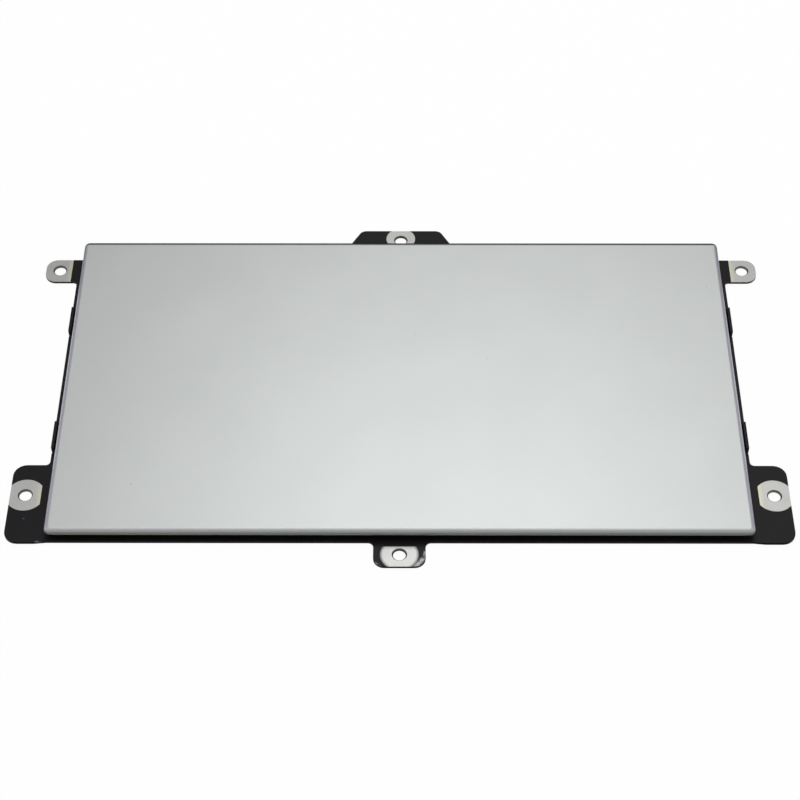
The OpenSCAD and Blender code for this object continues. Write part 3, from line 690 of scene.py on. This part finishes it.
@dataclass
class HingeLeaves:
    """The two spring leaves that bend between bracket and pad."""

    foot_mm: float = 27.4  # where the web leaves the riveted foot
    weld_mm: float = 23.4  # where it reaches the foot welded to the pad
    cuts: int = 9  # number of cuts across the web, where it bends
    spots_mm: tuple[float, ...] = (-5.5, 0.0, 5.5)  # places of the weld spots across a leaf, from its middle
    spot_y_mm: float = 21.4  # their place from front to rear
    spot_z_mm: float = 1.25  # height of the weld foot's underside
    spot_mm: Point = (0.42, 0.6, 0.06)  # radius at the lower and the upper end and height of a weld spot
    ring_mm: Spot = (0.12, 0.02)  # width of its raised ring, and how deep its middle is sunk
    leaf_x_mm: float = 36.0  # distance of a leaf's middle from the part's

    def build(self) -> list[Piece]:
        """Model both leaves and their weld spots."""
        return [self.leaf("left"), self.leaf("right"), self.weld_spots()]

    def leaf(self, side: str) -> Piece:
        """Cut a leaf across its web, where the real leaf bends.

        Args:
            side: left or right.

        Returns:
            The leaf.
        """
        bm = copy_of(f"hinge_leaf_{side}")
        for i in range(1, self.cuts + 1):
            cut(bm, Axis.Y, self.weld_mm + (self.foot_mm - self.weld_mm) * i / (self.cuts + 1))
        piece = finished(f"spring_leaf_{side}", bm, [SPRING_STEEL], None, "spring_steel", f"hinge_leaf_{side}")
        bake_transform(piece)
        return piece

    def weld_spots(self) -> Piece:
        """Raise the low rings that spot welds leave under the leaves.

        Returns:
            The weld spots as one piece.
        """
        low_r, high_r, height = self.spot_mm
        ring, sunk = self.ring_mm
        bm = bmesh.new()
        for sign in (-1, 1):
            for x in self.spots_mm:
                spot = add_frustum(bm, (sign * self.leaf_x_mm + x, self.spot_y_mm, self.spot_z_mm),
                                   (low_r, high_r), height, segments=20)
                low = min(spot, key=lambda v: v.co.z).co.z
                floor = [f for f in bm.faces if all(abs(v.co.z - low) < SEAM and v in spot for v in f.verts)]
                bmesh.ops.inset_individual(bm, faces=floor, thickness=ring * MM, depth=-sunk * MM)
        return finished("weld_spots", bm, [RIVET_STEEL], Body.PAD, "spring_steel")


@dataclass
class ClickSwitch:
    """The click switch under the front of the board."""

    y_mm: float = -26.0  # its place from front to rear
    seat_mm: float = 1.45  # height at which the dome's rim sits
    pressed: float = 0.02  # share of the dome's rise that is left when it snaps

    def build(self) -> list[Piece]:
        """Dress the switch's pieces.

        Returns:
            The pieces.
        """
        dome = finished("snap_dome", copy_of("switch_dome"), [SPRING_STEEL], Body.PAD, "stainless_sheet",
                        "switch_dome")
        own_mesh(dome)
        return [dome,
                eased("switch_body", "switch_base", DARK_POLYMER, Body.PAD, "dark_plastic"),
                eased("switch_button", "switch_plunger", PLUNGER, Body.PLUNGER, "plunger_plastic"),
                eased("switch_lid", "switch_cover", ROLLED_STEEL, Body.PAD, "stainless_sheet"),
                eased("switch_leads", "switch_terminals", TINNED, Body.PAD, "tinned_metal")]


@dataclass
class CableSocket:
    """The flat cable's socket and its latch."""

    break_mm: float = 0.05  # the break of the moulded edges
    shortest_mm: float = 0.3  # edges shorter than this stay sharp

    def build(self) -> list[Piece]:
        """Soften the mouldings and the anchors, and dress the contacts.

        Returns:
            The pieces.
        """
        return [eased("socket_moulding", "socket_housing", IVORY, Body.PAD, "ivory_plastic", self.break_mm,
                      self.shortest_mm),
                eased("latch_moulding", "socket_latch", DARK_POLYMER, Body.LATCH, "dark_plastic", self.break_mm,
                      self.shortest_mm),
                eased("anchor_plates", "socket_anchors", TINNED, Body.PAD, "tinned_metal"),
                *dress(GOLD_FLASH, "socket_contacts")]


@dataclass
class Board:
    """The layers of the pad under the glass, and the parts and copper on the board's underside."""

    under_mm: float = 1.65  # height of the board's underside
    chip_mm: Spot = (0.5, 1.0)  # width and length of a capacitor or a resistor
    cap_mm: float = 0.24  # length of a chip's metal end
    lip_mm: float = 0.03  # how far the metal ends stand out beyond the body
    # The break of the chips' and of the packages' edges
    chip_break_mm: float = 0.045
    package_break_mm: float = 0.06
    # Columns, rows and height of the capacitors
    capacitor_x_mm: tuple[float, ...] = (2.75, 4.25, 5.75, 7.25)
    capacitor_y_mm: tuple[float, ...] = (4.7, 13.3)
    capacitor_h_mm: float = 0.5
    # Columns, row and height of the resistors
    resistor_x_mm: tuple[float, ...] = (11.5, 13.0, 14.5, 16.0, 17.5)
    resistor_y_mm: float = 6.4
    resistor_h_mm: float = 0.35
    # Place, width and height of the controller
    controller_mm: tuple[float, float, float, float] = (5.0, 9.0, 6.0, 0.8)
    toes: int = 10  # number of solder toes along each of its sides
    toe_mm: Point = (0.26, 0.2, 0.12)  # length along the side, reach and height of a toe
    toe_pitch_mm: float = 0.5  # spacing of the toes
    dimple_mm: Spot = (1.8, 2.4)  # nearer and farther edge of the controller's corner mark, from its middle
    dimple_round: float = 0.3  # the mark's corner radius, as a share of its width
    dimple_sunk_mm: Spot = (0.04, 0.05)  # width and depth of its wall
    # Place, width, depth and height of the regulator
    regulator_mm: tuple[float, float, float, float, float] = (14.5, 10.6, 2.9, 1.6, 0.85)
    # Places of its leads across its front and across its rear
    lead_x_mm: tuple[tuple[float, ...], tuple[float, ...]] = ((-0.95, 0.0, 0.95), (-0.95, 0.95))
    lead_mm: Spot = (0.4, 0.12)  # width and thickness of a lead
    # How far beyond the package a lead starts, bends twice and ends
    lead_bends_mm: tuple[float, ...] = (-0.2, 0.14, 0.26, 0.6)
    draft: Spot = (0.95, 0.91)  # width and depth of the regulator's lower face, as shares of its upper face's
    fillet_mm: Point = (0.6, 0.26, 0.2)  # width, reach and height of the solder at a chip's end
    fillet_slope: float = 0.7  # how far its face leans in, as a share of its reach
    solder_break_mm: float = 0.03  # the rounding of solder
    track_mm: Spot = (0.16, 0.03)  # width and height of a track
    stub_mm: float = 0.05  # how far from the controller's side a track begins
    resistor_row_mm: float = 1.75  # first row of the resistors' tracks, ahead of the controller's middle
    # Place of the socket's first contact tail, and the contacts' spacing
    socket_mm: tuple[float, float, float] = (-12.25, 7.5, 0.5)
    # The first lane of the cable's tracks, their spacing and the first turn
    lane_mm: tuple[float, float, float] = (4.3, 0.3, 1.5)
    # Places, and radius and height of the vias
    vias_mm: tuple[Spot, ...] = (
        (-20.4, 4.4), (-20.4, 13.6), (-17.6, 13.2), (-17.2, 4.8), (-3.6, 13.6), (-2.4, 12.7), (0.4, 13.9),
        (0.2, 4.2), (9.8, 13.6), (11.0, 12.7), (17.9, 13.7), (19.0, 12.8), (20.6, 8.8), (9.6, 4.2), (9.6, 5.3),
        (20.4, 4.3))
    via_mm: Spot = (0.28, 0.04)
    # Places, and radius and height of the test pads
    pads_mm: tuple[Spot, ...] = (
        (-19.0, 7.0), (-19.0, 9.0), (-19.0, 11.0), (18.6, 10.2), (20.4, 11.2), (11.2, 14.2), (-5.4, 13.9))
    pad_mm: Spot = (0.5, 0.04)
    # A disc's lower radius, and the width and depth of its sunk middle's rim, as shares of its size
    disc: Point = (0.92, 0.35, 0.5)

    def build(self) -> list[Piece]:
        """Dress the layers and model the parts.

        Returns:
            The pieces.
        """
        capacitors = [(x, y) for y in self.capacitor_y_mm for x in self.capacitor_x_mm]
        resistors = [(x, self.resistor_y_mm) for x in self.resistor_x_mm]
        return [*dress(SOLDER_MASK, "sensor_board"), *dress(FILM, "glass_bond_film", "support_bond_film"),
                *dress(LUGGED_STEEL, "support_plate"),
                self.chips("chip_capacitors", capacitors, self.capacitor_h_mm, CERAMIC, "capacitor_ceramic",
                           "board_capacitors"),
                self.chips("chip_resistors", resistors, self.resistor_h_mm, GLAZE, "resistor_body",
                           "board_resistors"),
                self.controller(), self.toe_row(), self.regulator(), self.leads(),
                self.fillets(capacitors + resistors), self.tracks(),
                self.discs("plated_vias", self.vias_mm, *self.via_mm),
                self.discs("test_pads", self.pads_mm, *self.pad_mm)]

    def chips(self, name: str, places: Sequence[Spot], height_mm: float, finish: Finish,
              slot: str, node: str) -> Piece:
        """Model chips with a metal cap on each end.

        Args:
            name: the piece's name.
            places: where the chips sit.
            height_mm: their height.
            finish: the finish of their bodies.
            slot: the record's material slot.
            node: the node that they replace.

        Returns:
            The chips as one piece.
        """
        wide, long = self.chip_mm
        level = self.under_mm - height_mm / 2
        bm = bmesh.new()
        for x, y in places:
            add_block(bm, (x, y, level), (wide - self.lip_mm, long - self.cap_mm, height_mm - self.lip_mm))
            for end in (-1, 1):
                cap = add_block(bm, (x, y + end * (long - self.cap_mm) / 2, level),
                                (wide, self.cap_mm, height_mm))
                for face in {f for v in cap for f in v.link_faces}:
                    face.material_index = 1
        bevel(bm, bm.edges, self.chip_break_mm)
        return finished(name, bm, [finish, TINNED], Body.PAD, slot, node)

    def controller(self) -> Piece:
        """Model the controller, with the round mark in its corner.

        Returns:
            The controller.
        """
        x, y, width, height = self.controller_mm
        near, far = self.dimple_mm
        mark = Vector((x - (near + far) / 2, y + (near + far) / 2, self.under_mm - height)) * MM
        bm = bmesh.new()
        add_block(bm, (x, y, self.under_mm - height / 2), (width, width, height))
        bevel(bm, bm.edges, self.package_break_mm)
        for axis, sign, middle in ((Axis.X, -1, x), (Axis.Y, 1, y)):
            for reach in self.dimple_mm:
                cut(bm, axis, middle + sign * reach)
        corner = self.dimple_round * (far - near) * MM
        bmesh.ops.bevel(bm, geom=list(self.nearest(bm, mark).verts), offset=corner, offset_type="OFFSET",
                        affect="VERTICES", segments=3, profile=0.5, material=-1)
        face = self.nearest(bm, mark)
        bm.normal_update()
        wall, sunk = self.dimple_sunk_mm
        bmesh.ops.inset_individual(bm, faces=[face], thickness=wall * MM, depth=-sunk * MM)
        return finished("controller_package", bm, [RESIN], Body.PAD, "chip_package", "touch_controller")

    @staticmethod
    def nearest(bm: Mesh, place: Vector) -> Face:
        """Find the face whose middle is nearest to a place."""
        return min(bm.faces, key=lambda f: (f.calc_center_median() - place).length)

    def toe_row(self) -> Piece:
        """Put the solder toes round the controller.

        Returns:
            The toes as one piece.
        """
        x, y, width, _ = self.controller_mm
        along, reach, height = self.toe_mm
        bm = bmesh.new()
        for i in range(self.toes):
            step = (i - (self.toes - 1) / 2) * self.toe_pitch_mm
            for side in (-1, 1):
                for where, size in (((side * width / 2, step), (reach, along)),
                                    ((step, side * width / 2), (along, reach))):
                    add_block(bm, (x + where[0], y + where[1], self.under_mm - height / 2), (*size, height))
        bevel(bm, bm.edges, self.solder_break_mm, segments=1)
        return finished("controller_toes", bm, [TINNED], Body.PAD, "tinned_metal")

    def regulator(self) -> Piece:
        """Model the regulator's drafted package.

        Returns:
            The package.
        """
        x, y, width, depth, height = self.regulator_mm
        bm = bmesh.new()
        verts = add_block(bm, (x, y, self.under_mm - height / 2), (width, depth, height))
        low = [v for v in verts if v.co.z < (self.under_mm - height / 2) * MM]
        bmesh.ops.scale(bm, verts=low, vec=(*self.draft, 1),
                        space=Matrix.Translation(Vector((-x, -y, 0)) * MM))
        bevel(bm, bm.edges, self.package_break_mm)
        return finished("regulator_package", bm, [RESIN], Body.PAD, "chip_package", "supply_regulator")

    def leads(self) -> Piece:
        """Bend the regulator's leads out of its sides and onto the board.

        Returns:
            The leads as one piece.
        """
        x, y, _, depth, height = self.regulator_mm
        width, thick = self.lead_mm
        foot = self.under_mm - thick / 2
        waist = self.under_mm - height / 2
        bends = [(depth / 2 + out, z) for out, z in zip(self.lead_bends_mm, (waist, waist, foot, foot))]
        chains = [[(x + column - width / 2, y + side * out, z) for out, z in bends]
                  for side, columns in zip((-1, 1), self.lead_x_mm) for column in columns]
        return self.ribbons("regulator_leads", chains, (width, 0, 0), thick, TINNED, "tinned_metal")

    @staticmethod
    def ribbons(name: str, chains: Iterable[Sequence[Point]], across_mm: Point, thick_mm: float,
                finish: Finish, slot: str) -> Piece:
        """Sweep chains of points to ribbons, and thicken these by half to each side.

        Args:
            name: the piece's name.
            chains: the points of each chain.
            across_mm: the sweep.
            thick_mm: the ribbons' thickness.
            finish: their finish.
            slot: the record's material slot.

        Returns:
            The ribbons as one piece.
        """
        bm = bmesh.new()
        for chain in chains:
            grown = bmesh.ops.extrude_edge_only(bm, edges=add_path(bm, chain)[1])["geom"]
            bmesh.ops.translate(bm, vec=Vector(across_mm) * MM, verts=[g for g in grown if isinstance(g, Vert)])
        bmesh.ops.recalc_face_normals(bm, faces=bm.faces)
        bm.normal_update()
        for vert in bm.verts:
            vert.co += vert.normal * thick_mm * MM / 2
        bmesh.ops.solidify(bm, geom=bm.faces[:], thickness=thick_mm * MM)
        return finished(name, bm, [finish], Body.PAD, slot)

    def fillets(self, places: Sequence[Spot]) -> Piece:
        """Run solder up the ends of the chips.

        Args:
            places: where the chips sit.

        Returns:
            The fillets as one piece.
        """
        wide, reach, height = self.fillet_mm
        middle = self.under_mm - height / 2
        bm = bmesh.new()
        for x, y in places:
            for end in (-1, 1):
                at = y + end * (self.chip_mm[1] + reach) / 2
                verts = add_block(bm, (x, at, middle), (wide, reach, height))
                outer = [v for v in verts if v.co.z < middle * MM and (v.co.y - at * MM) * end > 0]
                bmesh.ops.translate(bm, verts=outer, vec=(0, -end * self.fillet_slope * reach * MM, 0))
        bevel(bm, bm.edges, self.solder_break_mm)
        return finished("solder_fillets", bm, [TINNED], Body.PAD, "tinned_metal")

    def tracks(self) -> Piece:
        """Lay the copper from the socket to the controller, and on to the resistors.

        Returns:
            The tracks as one piece.
        """
        first_x, tail_y, pitch = self.socket_mm
        lane, gap, turn = self.lane_mm
        x, y, width, _ = self.controller_mm
        edge = width / 2 + self.stub_mm
        routes = []
        for i in range(self.toes):
            tail, row = first_x + pitch * i, lane + gap * i
            pad_y = y + (i - (self.toes - 1) / 2) * self.toe_pitch_mm
            bend = turn - gap * i
            routes.append(((tail, tail_y), (tail, row), (bend, row), (bend, pad_y), (x - edge, pad_y)))
        for i, column in enumerate(self.resistor_x_mm):
            row = y - self.resistor_row_mm + self.toe_pitch_mm * i
            routes.append(((x + edge, row), (column, row), (column, self.resistor_y_mm + self.chip_mm[1] / 2)))
        wide, high = self.track_mm
        chains = [[(*point, self.under_mm) for point in route] for route in routes]
        return self.ribbons("copper_tracks", chains, (0, 0, -high), wide, MASKED_COPPER, "circuit_board")

    def discs(self, name: str, places: Sequence[Spot], radius_mm: float, height_mm: float) -> Piece:
        """Set plated discs with a sunk middle on the board.

        Args:
            name: the piece's name.
            places: where they sit.
            radius_mm: their radius.
            height_mm: their height.

        Returns:
            The discs as one piece.
        """
        lower, rim, sunk = self.disc
        bm = bmesh.new()
        for x, y in places:
            verts = add_frustum(bm, (x, y, self.under_mm - height_mm / 2), (lower * radius_mm, radius_mm),
                                height_mm, segments=16)
            face = min({f for v in verts for f in v.link_faces}, key=lambda f: f.calc_center_median().z)
            bm.normal_update()
            bmesh.ops.inset_individual(bm, faces=[face], thickness=rim * radius_mm * MM,
                                       depth=-sunk * height_mm * MM)
        return finished(name, bm, [GOLD_FLASH], Body.PAD, "gold_contact")


def stage_sheet(name: str, place: Matrix, material: bpy.types.Material) -> Piece:
    """Lay a flat sheet of the studio.

    Args:
        name: its name.
        place: what turns a square of 1 m at the origin into the sheet.
        material: its material.

    Returns:
        The sheet.
    """
    bm = bmesh.new()
    bmesh.ops.create_grid(bm, x_segments=1, y_segments=1, size=0.5, matrix=place)
    mesh = bpy.data.meshes.new(name)
    bm.to_mesh(mesh)
    bm.free()
    mesh.materials.append(material)
    sheet = bpy.data.objects.new(name, mesh)
    bpy.context.scene.collection.objects.link(sheet)
    return sheet


@dataclass(frozen=True)
class Softbox:
    """A square studio light."""

    name: str
    place: Point  # where it hangs
    aim: Point  # the point that it faces
    size: float  # its width
    power: float  # its power in watts

    def hang(self) -> None:
        """Put the light in the scene."""
        lamp = bpy.data.lights.new(self.name, "AREA")
        lamp.shape = "SQUARE"
        lamp.size = self.size
        lamp.energy = self.power
        held = bpy.data.objects.new(self.name, lamp)
        held.location = self.place
        held.rotation_euler = (Vector(self.aim) - Vector(self.place)).to_track_quat("-Z", "Y").to_euler()
        bpy.context.scene.collection.objects.link(held)


@dataclass(frozen=True)
class Flag:
    """A black card that only reflections see."""

    name: str
    centre: Point  # where its middle lies
    size: Spot  # its width and depth
    lift_deg: float = 0.0  # how far it is raised about its width

    def lay(self) -> None:
        """Put the card in the scene."""
        place = Matrix.Translation(self.centre) @ Matrix.Rotation(math.radians(self.lift_deg), 4, "X")
        card = stage_sheet(self.name, place @ Matrix.Diagonal((*self.size, 1, 1)), CARD.material())
        for ray in ("camera", "diffuse", "transmission", "volume_scatter", "shadow"):
            setattr(card, f"visible_{ray}", False)


@dataclass
class Studio:
    """Floor, light and camera."""

    floor_size: float = 8.0  # width of the floor
    floor_glow: float = 0.97  # share of plain white in the floor as it is seen
    floor_fill: float = 0.4  # share of plain white in the light that it throws back
    ahead: float = 0.46  # brightness of the room ahead of the object
    behind: float = 0.4  # brightness behind it
    beside: float = 0.42  # how much brighter the room is at both sides
    # The lights
    softboxes: tuple[Softbox, ...] = (
        Softbox("key_softbox", (0.035, 0.27, 0.5), (0.0, 0.0, 0.0), 0.25, 0.79),
        Softbox("top_softbox", (0.0, -0.04, 0.6), (0.0, -0.03, 0.0), 0.36, 0.45),
    )
    # The cards that darken the reflections low ahead and behind
    flags: tuple[Flag, ...] = (
        Flag("front_flag", (0.0, -0.2335, 0.0003), (0.5, 0.4)),
        Flag("rear_flag", (0.0, 0.2335, 0.0003), (0.5, 0.4)),
        Flag("back_flag", (0.0, 0.5, 0.16), (1.6, 0.32), 90.0),
    )
    lens_mm: float = 90.567  # focal length on a 36 mm sensor
    camera_at: Point = (0.00153, -0.22772, 0.26668)  # the camera's place
    # How far the camera looks down, its turn and its tilt
    look_deg: tuple[float, float, float] = (49.781, 0.393, -0.247)

    def build(self) -> None:
        """Set up the studio."""
        bpy.context.scene.view_settings.view_transform = "Standard"
        self.floor()
        self.room()
        for softbox in self.softboxes:
            softbox.hang()
        for flag in self.flags:
            flag.lay()
        self.camera()

    def floor(self) -> None:
        """Lay a white floor that keeps the shadow and can be looked through from below."""
        made = bpy.data.materials.new("paper, matt white")
        made.use_nodes = True
        tree = made.node_tree
        tree.nodes.remove(tree.nodes["Principled BSDF"])
        path = add(tree, "LightPath").outputs
        seen = add(tree, "Math", {0: path["Is Camera Ray"], 1: path["Is Glossy Ray"]}, operation="MAXIMUM")
        seen = add(tree, "Math", {0: seen, 1: path["Is Transmission Ray"]}, operation="MAXIMUM")
        share = add(tree, "MapRange", {"Value": seen, "To Min": self.floor_fill, "To Max": self.floor_glow})
        paper = add(tree, "MixShader", {0: share,
                                        1: add(tree, "BsdfDiffuse", {"Color": linear("#f4f4f2")}),
                                        2: add(tree, "Emission", {"Color": linear("#ffffff")})})
        back = add(tree, "NewGeometry").outputs["Backfacing"]
        clear = add(tree, "MixShader", {0: back, 1: paper, 2: add(tree, "BsdfTransparent")})
        tree.links.new(clear.outputs[0], tree.nodes["Material Output"].inputs["Surface"])
        stage_sheet("floor", Matrix.Diagonal((self.floor_size, self.floor_size, 1, 1)), made)

    def room(self) -> None:
        """Light the scene from a room that differs ahead of the object, behind it and beside it."""
        world = bpy.data.worlds.new("studio room")
        bpy.context.scene.world = world
        world.use_nodes = True
        tree = world.node_tree
        toward = add(tree, "SeparateXYZ", {"Vector": add(tree, "TexCoord").outputs["Generated"]}).outputs
        depth = add(tree, "MapRange", {"Value": toward["Y"], "From Min": -1.0, "From Max": 1.0,
                                       "To Min": self.ahead, "To Max": self.behind})
        side = add(tree, "Math", {0: toward["X"], 1: toward["X"]}, operation="MULTIPLY")
        level = add(tree, "Math", {0: side, 1: self.beside, 2: depth}, operation="MULTIPLY_ADD")
        seen = add(tree, "LightPath").outputs["Is Camera Ray"]
        strength = add(tree, "Mix", {"Factor": seen, "A": level, "B": 1.0}, data_type="FLOAT")
        shine = tree.nodes["Background"]
        shine.inputs["Color"].default_value = linear("#ffffff")
        tree.links.new(next(s for s in strength.outputs if s.enabled), shine.inputs["Strength"])

    def camera(self) -> None:
        """Put the camera at the photograph's angle."""
        down, turn, tilt = (math.radians(a) for a in self.look_deg)
        lens = bpy.data.cameras.new("camera")
        lens.sensor_width = 36.0
        lens.lens = self.lens_mm
        held = bpy.data.objects.new("camera", lens)
        aim = (Matrix.Rotation(turn, 4, "Z") @ Matrix.Rotation(math.pi / 2 - down, 4, "X")
               @ Matrix.Rotation(tilt, 4, "Z"))
        held.matrix_world = Matrix.Translation(self.camera_at) @ aim
        bpy.context.scene.collection.objects.link(held)
        bpy.context.scene.camera = held


def main() -> None:
    """Build the studio and each sub-assembly, and report each piece."""
    logging.basicConfig(level=logging.INFO, format="%(name)s: %(message)s")
    Studio().build()
    for assembly in (TouchPlate(), Bracket(), HingeLeaves(), ClickSwitch(), CableSocket(), Board()):
        for piece in assembly.build():
            LOG.info("%s: %s", type(assembly).__name__, piece.name)


if __name__ == "__main__":
    main()
